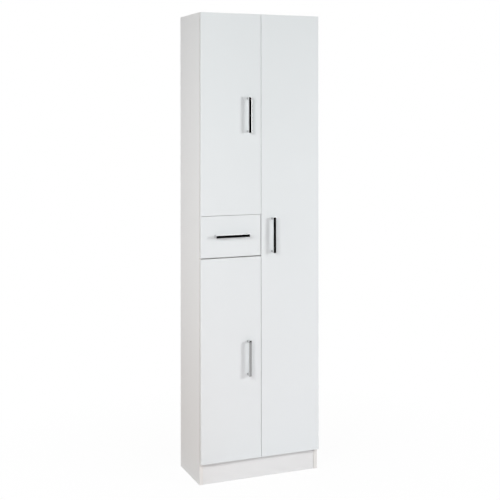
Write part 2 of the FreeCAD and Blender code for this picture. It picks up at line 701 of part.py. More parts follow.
bow_drilled = cut("bow_drilled", bow, [
    rod("bow_hole", TURN_X, "-1", "%s" % z, "bar_wide / 2", "leg_hole", "leg_hole_deep + 1")
    for z in ("hole_half", "-hole_half")])
handle_screw = screw("handle_screw", "2", "handle_screw_long", "4", "2.4")
doc.recompute()
DOOR_FACE = number("door_back - board")
BACKWARD = Rotation(Vector(1, 0, 0), -90)


def handle(name, x, z, across):
    """A bar handle on a front with its two screws from behind, upright or lying across."""
    if across:
        turn = Rotation(Vector(0, -1, 0), Vector(1, 0, 0), Vector(0, 0, 1), "XYZ")
        start = Vector(x, DOOR_FACE, z - SIZES["bar_wide"] / 2)
        ends = [Vector(x + s * SIZES["hole_half"], SIZES["door_back"], z) for s in (-1, 1)]
    else:
        turn = Rotation(Vector(0, -1, 0), Vector(0, 0, 1), Vector(-1, 0, 0), "XYZ")
        start = Vector(x + SIZES["bar_wide"] / 2, DOOR_FACE, z)
        ends = [Vector(x, SIZES["door_back"], z + s * SIZES["hole_half"]) for s in (-1, 1)]
    spread("handle_" + name, bow_drilled, [Placement(start, turn)])
    spread("handle_screws_" + name, handle_screw, [Placement(end, BACKWARD) for end in ends])
    return [rod("handle_way_" + name, TURN_Y, str(end.x), "door_back - board - 1", str(end.z), "screw_way",
                "board + 2") for end in ends]


# Hinge cup: a pressed cup with a screw-on rim, crossed near its outer wall by the hinge pin.
cup_shell = joined("cup_shell", [
    rod("cup_barrel", TURN_Y, "cup_in", "-3 - cup_deep", "0", "cup_r", "cup_deep"),
    rod("cup_rim", TURN_Y, "cup_in", "-3", "0", "rim_r", "rim_thick"),
    box("cup_ears", "cup_in", "-3", "-ear_half", "ear_reach", "rim_thick", "2 * ear_half")])
cup = cut("cup", cup_shell, [
    rod("cup_hollow", TURN_Y, "cup_in", "-3 - cup_deep + cup_floor", "0", "cup_r - cup_wall", "cup_deep + 2"),
    rod("cup_pin_way", UPRIGHT, "pin_in", "-pin_out", "-pin_half", "pin_r", "2 * pin_half"),
    rod("cup_ear_way_a", TURN_Y, "cup_in + ear_hole_in", "-4", "ear_hole", "wood_screw + 0.1", "3"),
    rod("cup_ear_way_b", TURN_Y, "cup_in + ear_hole_in", "-4", "-ear_hole", "wood_screw + 0.1", "3")])
pin = rod("pin", UPRIGHT, "pin_in", "-pin_out", "-pin_half", "pin_r", "2 * pin_half")
doc.recompute()
ear_line = number("cup_in + ear_hole_in")
ear_top = -3 + SIZES["rim_thick"]


def door(name, side, low, high, near, far, rows, grip):
    """A door board with its edges eased, its cups, pins, cup screws and handle."""
    x = "-width / 2 + reveal" if side == "left" else near
    wide = "%s + width / 2 - reveal" % far if side == "left" else "width / 2 - reveal - %s" % near
    slab = box("door_%s_board" % name, x, "door_back - board", low, wide, "board", "%s - %s" % (high, low))
    doc.recompute()
    hinge_x = number("-width / 2 + reveal" if side == "left" else "width / 2 - reveal")
    soft = doc.addObject("Part::Fillet", "door_%s_eased" % name)
    soft.Base = slab
    edges = []
    for i, edge in enumerate(slab.Shape.Edges, 1):
        middle = edge.CenterOfMass
        tall = abs(edge.Vertexes[0].Z - edge.Vertexes[1].Z) > 1
        if tall and middle.y > DOOR_FACE + 1 and abs(middle.x - hinge_x) < 1:
            edges.append((i, SIZES["edge_round"], SIZES["edge_round"]))
        elif middle.y < DOOR_FACE + 0.1:
            edges.append((i, SIZES["front_ease"], SIZES["front_ease"]))
    soft.Edges = edges
    tools = handle(name, grip[0], grip[1], False)
    sign = 1 if side == "left" else -1
    edge_x = -SIZES["width"] / 2 * sign
    for z in rows:
        tools.append(rod("cup_bore_" + name, TURN_Y, str(edge_x + sign * SIZES["cup_in"]),
                         "door_back - cup_deep - 0.05", str(z), "cup_bore", "cup_deep + 1"))
        for lift in (-SIZES["ear_hole"], SIZES["ear_hole"]):
            tools.append(rod("ear_bore_" + name, TURN_Y, str(edge_x + sign * ear_line), "door_back - 10.2",
                             str(z + lift), "wood_hole", "11"))
    keep(cut("door_" + name, soft, tools), "door_" + name)
    spread("hinge_cups_" + name, cup, hinge_spots(Placement(), (side,), rows))
    spread("hinge_pins_" + name, pin, hinge_spots(Placement(), (side,), rows))
    spread("cup_screws_" + name, cup_screw,
           [spot for lift in (-SIZES["ear_hole"], SIZES["ear_hole"])
            for spot in hinge_spots(Placement(Vector(ear_line, ear_top, lift), BACKWARD), (side,), rows)])


# Doors: the upper and lower ones hinge on the left side, the tall one on the right side.
door("upper", "left", "upper_low", "front_high", "", "upper_edge", [1143, 1719], (-55, 1424.6))
door("lower", "left", "front_low", "lower_top", "", "lower_edge", [183, 759], (-55, 479))
door("tall", "right", "front_low", "front_high", "tall_edge", "", HINGES_RIGHT, (48.4, 952.8))

# Drawer front: grooved for the drawer bottom, drilled for dowels and the handle screws.
slab = box("drawer_front_board", "-width / 2 + reveal", "door_back - board", "drawer_low",
           "drawer_edge + width / 2 - reveal", "board", "drawer_high - drawer_low")
doc.recompute()
soft = doc.addObject("Part::Fillet", "drawer_front_eased")
soft.Base = slab
eased = SIZES["front_ease"]
soft.Edges = [(i, eased, eased) for i, edge in enumerate(slab.Shape.Edges, 1)
              if edge.CenterOfMass.y < DOOR_FACE + 0.1]
tools = handle("drawer", -126.35, 957, True)
tools.append(box("front_groove", "box_left + box_side / 2", "door_back - 6", "box_floor - 0.1",
                 "box_right - box_left - box_side", "8", "floor_thick + 0.2"))
dowel_spots = [(x, z) for x in (number("box_left + box_side / 2"), number("box_right - box_side / 2"))
               for z in DOWEL_HEIGHTS]
for x, z in dowel_spots:
    tools.append(rod("front_dowel_hole", TURN_Y, str(x), "door_back - dowel_nose - 0.2", str(z), "dowel_hole",
                     "dowel_nose + 2"))
keep(cut("drawer_front", soft, tools), "drawer_front")

# Drawer sides: butted to the front, grooved inside for the bottom.
for side, x, groove_x in (("left", "box_left", "box_left + box_side / 2"),
                          ("right", "box_right - box_side", "box_right - box_side - 1")):
    plain = box("drawer_side_%s_board" % side, x, "door_back", "box_low", "box_side", "box_back - door_back",
                "box_high - box_low")
    tools = [box("side_floor_groove", groove_x, "door_back - 1", "box_floor - 0.1", "box_side / 2 + 1",
                 "box_back - door_back + 2", "floor_thick + 0.2")]
    for z in DOWEL_HEIGHTS:
        tools.append(rod("side_dowel_hole", TURN_Y, x + " + box_side / 2", "door_back - 1", str(z),
                         "dowel_hole", "dowel_half + 1.2"))
    keep(cut("drawer_side_" + side, plain, tools), "drawer_side_" + side)

# Drawer back standing on the thin bottom, and the bottom running in the grooves.
keep(box("drawer_back", "box_left + box_side", "box_back - box_side", "box_floor + floor_thick",
         "box_right - box_left - 2 * box_side", "box_side", "box_high - box_floor - floor_thick"),
     "drawer_back")
keep(box("drawer_bottom", "box_left + box_side / 2 + 0.3", "door_back - 5.8", "box_floor",
         "box_right - box_left - box_side - 0.6", "box_back - door_back + 5.8", "floor_thick"),
     "drawer_bottom")

# Dowels between the drawer front and its sides.
dowel = rod("dowel", TURN_Y, "0", "-dowel_nose", "0", "dowel_r", "dowel_nose + dowel_half")
doc.recompute()
spread("drawer_dowels", dowel, [Placement(Vector(x, SIZES["door_back"], z), UPRIGHT) for x, z in dowel_spots])

# Drawer rails: bent steel strips under the drawer sides, with an outer wing that runs on the front rollers.
slide = doc.addObject("PartDesign::Body", "slide")
pad(slide, "slide_pad", outline(slide, "slide_outline", [
    ("0", "0"), ("slide_foot", "0"), ("slide_foot", "-rail_sheet"), ("-rail_sheet", "-rail_sheet"),
    ("-rail_sheet", "slide_top - box_low - rail_sheet"),
    ("-rail_sheet - slide_wing", "slide_top - box_low - rail_sheet"),
    ("-rail_sheet - slide_wing", "slide_top - box_low"), ("0", "slide_top - box_low")]),
    "slide_back - slide_front")
slide.Placement = Placement(Vector(), Rotation(Vector(1, 0, 0), 90))
slide_mirror = doc.addObject("Part::Mirroring", "slide_mirror")
slide_mirror.Source = slide
slide_mirror.Normal = Vector(1, 0, 0)
doc.recompute()
spread("drawer_rail_left", slide,
       [Placement(Vector(SIZES["box_left"], SIZES["slide_back"], SIZES["box_low"]), UPRIGHT)])
spread("drawer_rail_right", slide_mirror,
       [Placement(Vector(SIZES["box_right"], SIZES["slide_back"], SIZES["box_low"]), UPRIGHT)])

# Every object is checked, then each sub-part is written to its own file.
doc.recompute()
for obj in doc.Objects:
    if "Invalid" in obj.State or "Error" in obj.State:
        raise RuntimeError("not built: " + obj.Label)
os.makedirs("parts", exist_ok=True)
for obj in made:
    if obj.Shape.isNull() or not obj.Shape.isValid() or not obj.Shape.Solids:
        raise RuntimeError("bad shape: " + obj.Label)
    obj.Shape.exportStep("parts/%s.step" % obj.Label)
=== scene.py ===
import math

import bpy
import numpy as np
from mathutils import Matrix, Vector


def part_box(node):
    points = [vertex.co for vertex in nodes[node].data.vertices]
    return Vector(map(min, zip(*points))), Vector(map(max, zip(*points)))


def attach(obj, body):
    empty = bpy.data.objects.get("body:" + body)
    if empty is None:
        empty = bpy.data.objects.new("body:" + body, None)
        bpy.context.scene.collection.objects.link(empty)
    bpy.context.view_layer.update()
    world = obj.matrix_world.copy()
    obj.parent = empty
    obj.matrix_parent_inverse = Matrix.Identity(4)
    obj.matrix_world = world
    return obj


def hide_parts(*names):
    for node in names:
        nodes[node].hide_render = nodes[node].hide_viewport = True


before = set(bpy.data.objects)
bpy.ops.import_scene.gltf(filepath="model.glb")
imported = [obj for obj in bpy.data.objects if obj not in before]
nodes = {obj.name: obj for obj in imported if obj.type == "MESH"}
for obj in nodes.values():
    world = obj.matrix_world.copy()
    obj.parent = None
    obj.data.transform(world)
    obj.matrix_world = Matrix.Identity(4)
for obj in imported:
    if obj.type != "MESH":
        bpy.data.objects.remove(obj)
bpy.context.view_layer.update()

# Side panels: two full-height boards of chipboard faced with matt white melamine paper.
# The front edge is banded and the top edge faced.
# The rear edge, the foot, the groove and the bores show raw chips.
CASE_WHITE = (0.770, 0.776, 0.774, 1)
CASE_CLOUD = 0.014
CASE_GLOSS = 0.42
CLOUDS = 5.0
PEARLS = 1900.0
PEARL_TONE = (0.992, 1.004)
SMEARS = 38.0
SMEAR_DRIFT = (-0.035, 0.045)
CHIPS = 520.0
CHIP_FLAT = (1.0, 1.0, 0.6)
CHIP_DARK = (0.36, 0.235, 0.125, 1)
CHIP_PALE = (0.66, 0.50, 0.31, 1)
CHIP_ROUGH = 0.85
DUST = 900.0
DUST_TONE = (0.72, 1.12)
SKIN_REACH = 0.0001


def add_node(tree, kind, inputs=None, **settings):
    """One shader node: settings go on the node, and each input is set to a value or linked from a socket."""
    made = tree.nodes.new(kind)
    for key, value in settings.items():
        setattr(made, key, value)
    for key, value in (inputs or {}).items():
        if isinstance(value, bpy.types.NodeSocket):
            tree.links.new(value, made.inputs[key])
        else:
            made.inputs[key].default_value = value
    return made


def calculated(tree, operation, *values):
    """The result of one Math node on two or three values or sockets."""
    return add_node(tree, "ShaderNodeMath", dict(enumerate(values)), operation=operation).outputs[0]


def noise(tree, place, per_metre, detail=2.0):
    """Cloudy noise from 0 to 1 with about so many lumps to the metre."""
    inputs = {"Vector": place, "Scale": per_metre, "Detail": detail}
    return add_node(tree, "ShaderNodeTexNoise", inputs).outputs[0]


def spread(tree, value, low, high, start=0.3, stop=0.7):
    """A value stretched from its usual range, start to stop, onto low to high."""
    inputs = {0: value, 1: start, 2: stop, 3: low, 4: high}
    return add_node(tree, "ShaderNodeMapRange", inputs).outputs[0]


def stretched(tree, place, scales):
    """Coordinates scaled by their own amount along x, y and z."""
    return add_node(tree, "ShaderNodeMapping", {"Vector": place, "Scale": scales}).outputs[0]


def mixed(tree, share, first, second):
    """Two colours mixed: share 0 is the first, share 1 the second."""
    return add_node(tree, "ShaderNodeMix", {0: share, 6: first, 7: second}, data_type="RGBA").outputs[2]


def mixed_value(tree, share, first, second):
    """Two plain values mixed: share 0 is the first, share 1 the second."""
    return add_node(tree, "ShaderNodeMix", {0: share, 2: first, 3: second}).outputs[0]


def toned(tree, colour, level):
    """A colour made lighter or darker by a level around 1."""
    grey = add_node(tree, "ShaderNodeCombineColor", {0: level, 1: level, 2: level}).outputs[0]
    mix = add_node(tree, "ShaderNodeMix", {0: 1.0, 6: colour, 7: grey}, data_type="RGBA")
    mix.blend_type = "MULTIPLY"
    return mix.outputs[2]


def object_place(tree):
    """Object coordinates, in metres in the cabinet's own frame."""
    return add_node(tree, "ShaderNodeTexCoord").outputs["Object"]


def node_group(name, takes, gives):
    """An empty shader group with named sockets: its tree, its inputs and its outputs."""
    tree = bpy.data.node_groups.new(name, "ShaderNodeTree")
    for label, kind, value in takes:
        tree.interface.new_socket(label, in_out="INPUT", socket_type=kind).default_value = value
    for label, kind in gives:
        tree.interface.new_socket(label, in_out="OUTPUT", socket_type=kind)
    return tree, add_node(tree, "NodeGroupInput").outputs, add_node(tree, "NodeGroupOutput").inputs


COLOUR, FLOAT, VECTOR = "NodeSocketColor", "NodeSocketFloat", "NodeSocketVector"


def melamine_group():
    """Printed paper under resin: a faint cloudiness over decimetres and a pearl grain of half a millimetre.

    Cloud is the share by which the tone drifts, and Gloss the roughness that smears change a little."""
    tree, takes, gives = node_group(
        "melamine_paper",
        [("Paper", COLOUR, CASE_WHITE), ("Cloud", FLOAT, CASE_CLOUD), ("Gloss", FLOAT, CASE_GLOSS)],
        [("Colour", COLOUR), ("Roughness", FLOAT), ("Height", FLOAT)])
    place = object_place(tree)
    cloud = noise(tree, place, CLOUDS, detail=3.0)
    pearl = noise(tree, place, PEARLS, detail=1.0)
    smear = noise(tree, place, SMEARS)
    level = calculated(tree, "MULTIPLY_ADD", calculated(tree, "SUBTRACT", cloud, 0.5), takes["Cloud"], 1.0)
    clouded = toned(tree, takes["Paper"], level)
    tree.links.new(toned(tree, clouded, spread(tree, pearl, *PEARL_TONE)), gives["Colour"])
    drift = spread(tree, smear, *SMEAR_DRIFT)
    tree.links.new(calculated(tree, "ADD", takes["Gloss"], drift), gives["Roughness"])
    tree.links.new(pearl, gives["Height"])
    return tree


def chipboard_group():
    """Raw chipboard: flat chips a few millimetres long in glue-brown tones, with dust between them."""
    tree, _, gives = node_group("raw_chipboard", [], [("Colour", COLOUR), ("Height", FLOAT)])
    place = object_place(tree)
    inputs = {"Vector": stretched(tree, place, CHIP_FLAT), "Scale": CHIPS}
    chips = add_node(tree, "ShaderNodeTexVoronoi", inputs).outputs["Color"]
    shade = add_node(tree, "ShaderNodeSeparateColor", {0: chips}).outputs[0]
    dust = noise(tree, place, DUST, detail=3.0)
    wood = mixed(tree, shade, CHIP_DARK, CHIP_PALE)
    tree.links.new(toned(tree, wood, spread(tree, dust, *DUST_TONE)), gives["Colour"])
    tree.links.new(shade, gives["Height"])
    return tree


def skin_group():
    """1 on the finished planes of a board's own box and 0 in its bores, grooves and bare edges.

    A depth from each plane of the box is near 0 on that plane, and counts where the plane has a skin."""
    tree, takes, gives = node_group(
        "board_skin",
        [(label, VECTOR, (0, 0, 0)) for label in ("Low", "High", "Low skin", "High skin")],
        [("Skin", FLOAT)])
    place = object_place(tree)
    found = []
    for start, stop, finish in ((takes["Low"], place, "Low skin"), (place, takes["High"], "High skin")):
        depth = add_node(tree, "ShaderNodeVectorMath", {0: stop, 1: start}, operation="SUBTRACT").outputs[0]
        inputs = {6: depth, 7: (0, 0, 0), 8: (SKIN_REACH,) * 3, 9: (1, 1, 1), 10: (0, 0, 0)}
        near = add_node(tree, "ShaderNodeMapRange", inputs, data_type="FLOAT_VECTOR").outputs[1]
        dot = add_node(tree, "ShaderNodeVectorMath", {0: near, 1: takes[finish]}, operation="DOT_PRODUCT")
        found.append(dot.outputs["Value"])
    total = add_node(tree, "ShaderNodeMath", dict(enumerate(found)), operation="ADD", use_clamp=True)
    tree.links.new(total.outputs[0], gives["Skin"])
    return tree


MELAMINE = melamine_group()
CHIPBOARD = chipboard_group()
SKIN = skin_group()


def new_material(name):
    """A node material with its tree and its Principled shader."""
    material = bpy.data.materials.new(name)
    material.use_nodes = True
    return material, material.node_tree, material.node_tree.nodes["Principled BSDF"]


def wear_finish(piece, material):
    """The one finish of a piece, in every slot that it has."""
    if not piece.data.materials:
        piece.data.materials.append(material)
    for slot in piece.material_slots:
        slot.material = material


def place_group(tree, group, **values):
    """A shader group put into a material with its own values; underscores in a name stand for spaces."""
    made = add_node(tree, "ShaderNodeGroup", node_tree=group)
    for label, value in values.items():
        made.inputs[label.replace("_", " ")].default_value = value
    return made.outputs


def dent(tree, height, strength, depth, over=None):
    """A bump normal from a height of 0 to 1 that is `depth` metres deep, over another one if given."""
    inputs = {"Strength": strength, "Distance": depth, "Height": height}
    if over is not None:
        inputs["Normal"] = over
    return add_node(tree, "ShaderNodeBump", inputs).outputs[0]


def paper_over_chips(tree, shader, skin):
    """Melamine paper where the skin is 1 and raw chips where it is 0, given to a shader.

    What comes back is the height of the chips and the fine bump of the paper."""
    paper = place_group(tree, MELAMINE, Paper=CASE_WHITE, Cloud=CASE_CLOUD, Gloss=CASE_GLOSS)
    chips = place_group(tree, CHIPBOARD)
    tree.links.new(mixed(tree, skin, chips["Colour"], paper["Colour"]), shader.inputs["Base Color"])
    tree.links.new(mixed_value(tree, skin, CHIP_ROUGH, paper["Roughness"]), shader.inputs["Roughness"])
    return chips["Height"], dent(tree, paper["Height"], strength=0.16, depth=0.00004)


def board_material(name, bare):
    """Melamine board: `bare` lists the sides of its box, such as +y, that show raw chips."""
    material, tree, shader = new_material("board_" + name)
    low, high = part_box(name)
    skins = [[0.0 if sign + axis in bare else 1.0 for axis in "xyz"] for sign in "-+"]
    skin = place_group(tree, SKIN, Low=low, High=high, Low_skin=skins[0], High_skin=skins[1])["Skin"]
    chips, fine = paper_over_chips(tree, shader, skin)
    relief = mixed_value(tree, skin, chips, 0.0)
    tree.links.new(dent(tree, relief, strength=0.6, depth=0.0004, over=fine), shader.inputs["Normal"])
    return material


for name in ("side_left", "side_right"):
    wear_finish(nodes[name], board_material(name, ("+y", "-z")))

# Top, bottom, partition, fixed shelves and plinth: the same board in shorter lengths, with raw hidden edges.
# Cam locks hold the flat ones between the uprights, and long screws hold the partition.
# The plinth stands on edge under the bottom panel.
for name in ("top_panel", "bottom_panel", "shelf_under_drawer", "shelf_over_drawer", "shelf_middle_right"):
    wear_finish(nodes[name], board_material(name, ("-x", "+x", "+y")))
wear_finish(nodes["partition"], board_material("partition", ("+y", "-z", "+z")))
wear_finish(nodes["plinth_board"], board_material("plinth_board", ("-x", "+x", "-z", "+z")))

# Edge bands of the case: thin plastic strips ironed on to the front edges of the boards.
# They stand a hair proud of the board and are trimmed with a small bevel round the face.
BAND_PROUD = 0.00005
BAND_DEEP = 0.0004
BAND_INSET = 0.00012
BAND_STREAKS = (900.0, 900.0, 14.0)
BAND_TONE = (0.985, 1.006)
BAND_DRIFT = (-0.05, 0.07)
CASE_CREAM = (0.775, 0.765, 0.745, 1)
CASE_BAND_GLOSS = 0.34


def mesh_piece(name, points, faces, smooth=False):
    """A mesh object at the origin from an array of points and lists of corner numbers."""
    mesh = bpy.data.meshes.new(name)
    mesh.from_pydata(np.asarray(points, float).reshape(-1, 3).tolist(), [], faces)
    mesh.polygons.foreach_set("use_smooth", np.full(len(mesh.polygons), smooth))
    piece = bpy.data.objects.new(name, mesh)
    bpy.context.scene.collection.objects.link(piece)
    return piece


def ring_faces(rings, count, closed=False):
    """Quads between neighbouring rings of `count` points each, wrapping round each ring.

    Where closed, the last ring joins the first."""
    row = np.arange(rings if closed else rings - 1)[:, None] * count
    column = np.arange(count)[None, :]
    beside = (column + 1) % count
    above = (row + count) % (rings * count)
    quads = np.stack([row + column, row + beside, above + beside, above + column], axis=-1)
    return quads.reshape(-1, 4).tolist()


def lippings(boxes):
    """Flat strips on edges that face the front: each box is cut back by a small bevel round its front face.

    Three rectangles, the front one smaller by the bevel, run from front to back between two end faces."""
    points = []
    faces = []
    for low, high in boxes:
        steps = np.array([(BAND_PROUD, 0.0), (0.0, BAND_PROUD), (0.0, high[1] - low[1])])
        inset = steps[:, :1]
        x = np.concatenate([low[0] + inset, high[0] - inset, high[0] - inset, low[0] + inset], axis=1)
        z = np.concatenate([low[2] + inset, low[2] + inset, high[2] - inset, high[2] - inset], axis=1)
        y = np.repeat(low[1] + steps[:, 1:], 4, axis=1)
        start = len(points) * 12
        points.append(np.stack([x, y, z], axis=-1).reshape(12, 3))
        faces += (np.array(ring_faces(3, 4))[:, ::-1] + start).tolist()
        faces += [[start, start + 1, start + 2, start + 3], [start + 11, start + 10, start + 9, start + 8]]
    return np.concatenate(points), faces


def front_lipping(name):
    """The strip on a board's front edge, from the board's own box."""
    low, high = (np.array(corner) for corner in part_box(name))
    front = low[1]
    edge = np.array([BAND_INSET, 0.0, BAND_INSET])
    low, high = low + edge, high - edge
    low[1] = front - BAND_PROUD
    high[1] = front + BAND_DEEP
    return low, high


def band_material(name, tint, gloss):
    """Edge band: smooth plastic a touch creamier than the paper, with faint trimming streaks along it."""
    material, tree, shader = new_material(name)
    lines = noise(tree, stretched(tree, object_place(tree), BAND_STREAKS), 1.0)
    tree.links.new(toned(tree, tint, spread(tree, lines, *BAND_TONE)), shader.inputs["Base Color"])
    rough = spread(tree, lines, gloss + BAND_DRIFT[0], gloss + BAND_DRIFT[1])
    tree.links.new(rough, shader.inputs["Roughness"])
    tree.links.new(dent(tree, lines, strength=0.1, depth=0.00003), shader.inputs["Normal"])
    return material


CASE_BAND = band_material("case_band", CASE_CREAM, CASE_BAND_GLOSS)
banded = ("side_left", "side_right", "partition", "top_panel", "bottom_panel", "shelf_under_drawer",
          "shelf_over_drawer", "shelf_middle_right")
case_bands = mesh_piece("case_edge_bands", *lippings([front_lipping(name) for name in banded]))
wear_finish(case_bands, CASE_BAND)
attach(case_bands, "case")

# Back: a thin sheet of hardboard, lacquered white towards the shelves and left brown behind.
# It slides in the grooves of the sides and is nailed to the rear edges of the boards.
FIBRE_DARK = (0.30, 0.185, 0.105, 1)
FIBRE_PALE = (0.47, 0.32, 0.20, 1)
FIBRE_ROUGH = 0.72
FIBRES = 420.0
PATCHES = 9.0
FIBRE_TONE = (0.9, 1.08)
LACQUER_WHITE = (0.76, 0.76, 0.745, 1)
LACQUER_TONE = (0.985, 1.01)
LACQUER_GLOSS = (0.36, 0.46)
SCREEN_LINES = 130.0
SCREEN_WAVER = 1.5


def hardboard_material(name, face):
    """Hardboard: white lacquer where the surface turns to `face`, and pressed brown fibre elsewhere.

    The bare side keeps the square mesh of the press screen, two wave patterns at right angles."""
    material, tree, shader = new_material(name)
    coordinates = add_node(tree, "ShaderNodeTexCoord").outputs
    place = coordinates["Object"]
    inputs = {0: coordinates["Normal"], 1: face}
    lean = add_node(tree, "ShaderNodeVectorMath", inputs, operation="DOT_PRODUCT")
    white = spread(tree, lean.outputs["Value"], 0.0, 1.0, 0.5, 0.6)
    fibre = noise(tree, place, FIBRES, detail=6.0)
    patch = noise(tree, place, PATCHES, detail=3.0)
    brown = mixed(tree, spread(tree, fibre, 0.0, 1.0), FIBRE_DARK, FIBRE_PALE)
    brown = toned(tree, brown, spread(tree, patch, *FIBRE_TONE))
    lacquer = toned(tree, LACQUER_WHITE, spread(tree, patch, *LACQUER_TONE))
    tree.links.new(mixed(tree, white, brown, lacquer), shader.inputs["Base Color"])
    rough = mixed_value(tree, white, FIBRE_ROUGH, spread(tree, fibre, *LACQUER_GLOSS))
    tree.links.new(rough, shader.inputs["Roughness"])
    weave = []
    for turn in (0.0, math.radians(90)):
        turned = add_node(tree, "ShaderNodeMapping", {"Vector": place, "Rotation": (0, turn, 0)}).outputs[0]
        inputs = {"Vector": turned, "Scale": SCREEN_LINES, "Distortion": SCREEN_WAVER}
        weave.append(add_node(tree, "ShaderNodeTexWave", inputs).outputs[1])
    screen = calculated(tree, "MULTIPLY", *weave)
    relief = mixed_value(tree, white, screen, fibre)
    tree.links.new(dent(tree, relief, strength=0.35, depth=0.0001), shader.inputs["Normal"])
    return material


wear_finish(nodes["back_panel"], hardboard_material("back_hardboard", (0, -1, 0)))

# Loose shelves: cut from the same board, banded in front, lying on four pins each.
# The ends and the rear edge are raw, and only the front edge shows.
SHELF_THICK = 0.015
shelf_undersides = {"shelves_upper_left": (1.280, 1.540), "shelves_lower_left": (0.345, 0.600),
                    "shelves_right": (0.345, 0.600, 1.110, 1.450)}


def shelf_material():
    """Melamine above, below and in front, raw chips on the edges that turn sideways or back."""
    material, tree, shader = new_material("loose_shelf")
    normal = add_node(tree, "ShaderNodeTexCoord").outputs["Normal"]
    turn = add_node(tree, "ShaderNodeSeparateXYZ", {0: normal}).outputs
    lift = add_node(tree, "ShaderNodeMath", {0: turn[2]}, operation="ABSOLUTE").outputs[0]
    ahead = calculated(tree, "MULTIPLY", turn[1], -1.0)
    skin = spread(tree, calculated(tree, "MAXIMUM", lift, ahead), 0.0, 1.0, 0.5, 0.6)
    _, fine = paper_over_chips(tree, shader, skin)
    tree.links.new(fine, shader.inputs["Normal"])
    return material


LOOSE_SHELF = shelf_material()
shelf_strips = []
for name, undersides in shelf_undersides.items():
    wear_finish(nodes[name], LOOSE_SHELF)
    for underside in undersides:
        low, high = front_lipping(name)
        low[2] = underside + BAND_INSET
        high[2] = underside + SHELF_THICK - BAND_INSET
        shelf_strips.append((low, high))
shelf_bands = mesh_piece("shelf_edge_bands", *lippings(shelf_strips))
wear_finish(shelf_bands, CASE_BAND)
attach(shelf_bands, "case")

# Zinc-plated fixings: shelf pins, cam locks and bolts, screws, nails, axles and the wall brackets.
# Cold-headed or stamped steel with a thin bluish plating, slightly blotched from the bath.
ZINC_PLATE = (0.62, 0.64, 0.67, 1)
ZINC_STAIN = (0.55, 0.55, 0.53, 1)
ZINC_POLISH = 0.34
BLOTCHES = 260.0
BLOTCH_DRIFT = (-0.06, 0.1)
DRAWN_LINES = (3000.0, 300.0, 3000.0)
DRAWN_TONE = (0.94, 1.05)
DOORS = ("upper", "lower", "tall")


def plating_group():
    """Plated steel: blotches a few millimetres wide mix two tones and change the roughness.

    Fine drawing lines along y change the tone again and give the height."""
    tree, takes, gives = node_group(
        "plated_steel",
        [("Plate", COLOUR, ZINC_PLATE), ("Stain", COLOUR, ZINC_STAIN), ("Polish", FLOAT, ZINC_POLISH)],
        [("Colour", COLOUR), ("Roughness", FLOAT), ("Height", FLOAT)])
    place = object_place(tree)
    blotch = noise(tree, place, BLOTCHES, detail=4.0)
    lines = noise(tree, stretched(tree, place, DRAWN_LINES), 1.0)
    tone = mixed(tree, spread(tree, blotch, 0.0, 1.0), takes["Plate"], takes["Stain"])
    tree.links.new(toned(tree, tone, spread(tree, lines, *DRAWN_TONE)), gives["Colour"])
    drift = spread(tree, blotch, *BLOTCH_DRIFT)
    tree.links.new(calculated(tree, "ADD", takes["Polish"], drift), gives["Roughness"])
    tree.links.new(lines, gives["Height"])
    return tree


PLATING = plating_group()


def plated_material(name, plate, stain, polish):
    """Bare plated metal from the shared plating group."""
    material, tree, shader = new_material(name)
    metal = place_group(tree, PLATING, Plate=plate, Stain=stain, Polish=polish)
    shader.inputs["Metallic"].default_value = 1.0
    tree.links.new(metal["Colour"], shader.inputs["Base Color"])
    tree.links.new(metal["Roughness"], shader.inputs["Roughness"])
    tree.links.new(dent(tree, metal["Height"], strength=0.12, depth=0.00003), shader.inputs["Normal"])
    return material


ZINC = plated_material("zinc_plating", ZINC_PLATE, ZINC_STAIN, ZINC_POLISH)
zinc_nodes = ["shelf_pins", "cam_locks", "cam_bolts", "partition_screws", "back_nails", "wall_brackets",
              "bracket_screws", "plate_screws", "rail_screws", "front_axles", "rear_axles"]
zinc_nodes += [kind + door for kind in ("cup_screws_", "handle_screws_") for door in DOORS]
zinc_nodes.append("handle_screws_drawer")
for name in zinc_nodes:
    wear_finish(nodes[name], ZINC)

# Floor glides and drawer rollers: moulded nylon, milky white with a dull skin.
# The glides are nailed under the sides; the rollers run on riveted axles.
NYLON_DULL = (0.70, 0.70, 0.68, 1)
NYLON_MILKY = (0.79, 0.79, 0.775, 1)
NYLON_GLOSS = (0.4, 0.55)
FLOW_MARKS = 160.0
NYLON_GRAIN = 2600.0


def nylon_material():
    """Milky plastic with flow marks and a slightly uneven skin."""
    material, tree, shader = new_material("moulded_nylon")
    place = object_place(tree)
    flow = noise(tree, place, FLOW_MARKS, detail=3.0)
    skin = noise(tree, place, NYLON_GRAIN, detail=1.0)
    tree.links.new(mixed(tree, flow, NYLON_DULL, NYLON_MILKY), shader.inputs["Base Color"])
    tree.links.new(spread(tree, flow, *NYLON_GLOSS), shader.inputs["Roughness"])
    tree.links.new(dent(tree, skin, strength=0.15, depth=0.00003), shader.inputs["Normal"])
    return material


NYLON = nylon_material()
for name in ("floor_glides", "front_rollers", "rear_rollers"):
    wear_finish(nodes[name], NYLON)

# Concealed hinges: pressed steel cups, arms and plates with a warm nickel plating.
# The plates are screwed to the sides, the cups into the doors, and a pin joins each pair.
NICKEL_PLATE = (0.72, 0.70, 0.66, 1)
NICKEL_STAIN = (0.68, 0.66, 0.62, 1)
NICKEL_POLISH = 0.2

NICKEL = plated_material("nickel_plating", NICKEL_PLATE, NICKEL_STAIN, NICKEL_POLISH)
hinge_nodes = ["hinge_plates", "hinge_arms"]
hinge_nodes += [kind + door for kind in ("hinge_cups_", "hinge_pins_") for door in DOORS]
for name in hinge_nodes:
    wear_finish(nodes[name], NICKEL)

# Drawer rails: roll-formed steel strip with a white epoxy coat.
# One pair is screwed to the case and carries the front rollers, the other sits under the drawer's sides.
EPOXY_WHITE = (0.77, 0.77, 0.76, 1)
EPOXY_TONE = (0.985, 1.01)
EPOXY_GLOSS = (0.24, 0.36)
PEEL = 520.0


